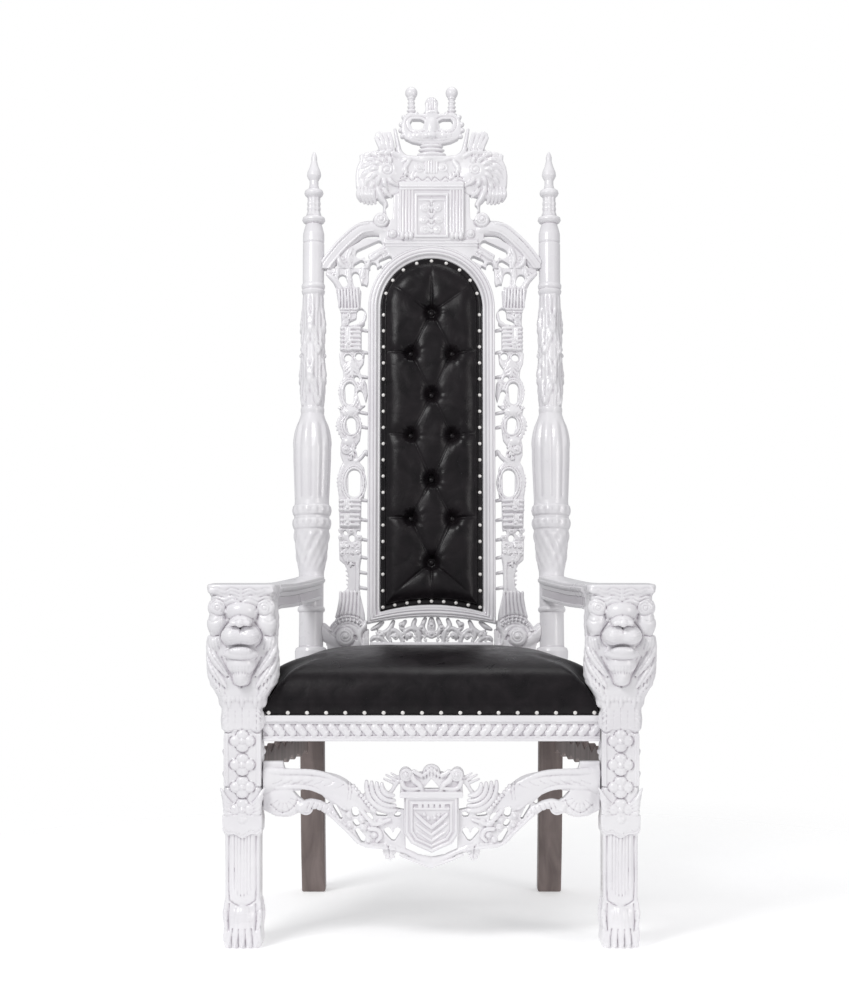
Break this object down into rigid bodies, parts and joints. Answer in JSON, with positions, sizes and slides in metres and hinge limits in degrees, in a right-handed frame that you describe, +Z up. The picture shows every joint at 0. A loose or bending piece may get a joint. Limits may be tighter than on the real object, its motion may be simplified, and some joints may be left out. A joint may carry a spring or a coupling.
{
  "type": "throne",
  "caption": "Tall carved throne with lion-head front legs, pierced crest, turned back posts, tufted arched back pad and domed black seat.",
  "frame": {"origin": "on the floor, under the middle of the throne's bounding box", "axes": "+Z up, -Y towards the sitter's front, +X to the right as seen from the front"},
  "size_m": [0.8642, 0.7508, 1.8121],
  "materials": {
    "white_paint": "white gloss paint over carved wood",
    "brown_wood": "brown stained wood, satin",
    "black_vinyl": "glossy black vinyl",
    "nailhead": "pearl-white domed nail heads"
  },
  "bodies": {
    "root": {"front_leg_left": "white_paint", "front_leg_right": "white_paint", "arm_left": "white_paint", "arm_right": "white_paint", "back_post_left": "white_paint", "back_post_right": "white_paint", "seat_rail_front": "white_paint", "seat_rail_left": "white_paint", "seat_rail_right": "white_paint", "seat_rail_back": "white_paint", "apron_front": "white_paint", "crest": "white_paint", "fret_left": "white_paint", "fret_right": "white_paint", "back_frame": "white_paint", "lower_back_rail": "white_paint", "rear_leg_left": "brown_wood", "rear_leg_right": "brown_wood", "apron_left": "brown_wood", "apron_right": "brown_wood", "back_pad": "black_vinyl", "seat_cushion": "black_vinyl"}
  },
  "joints": []
}
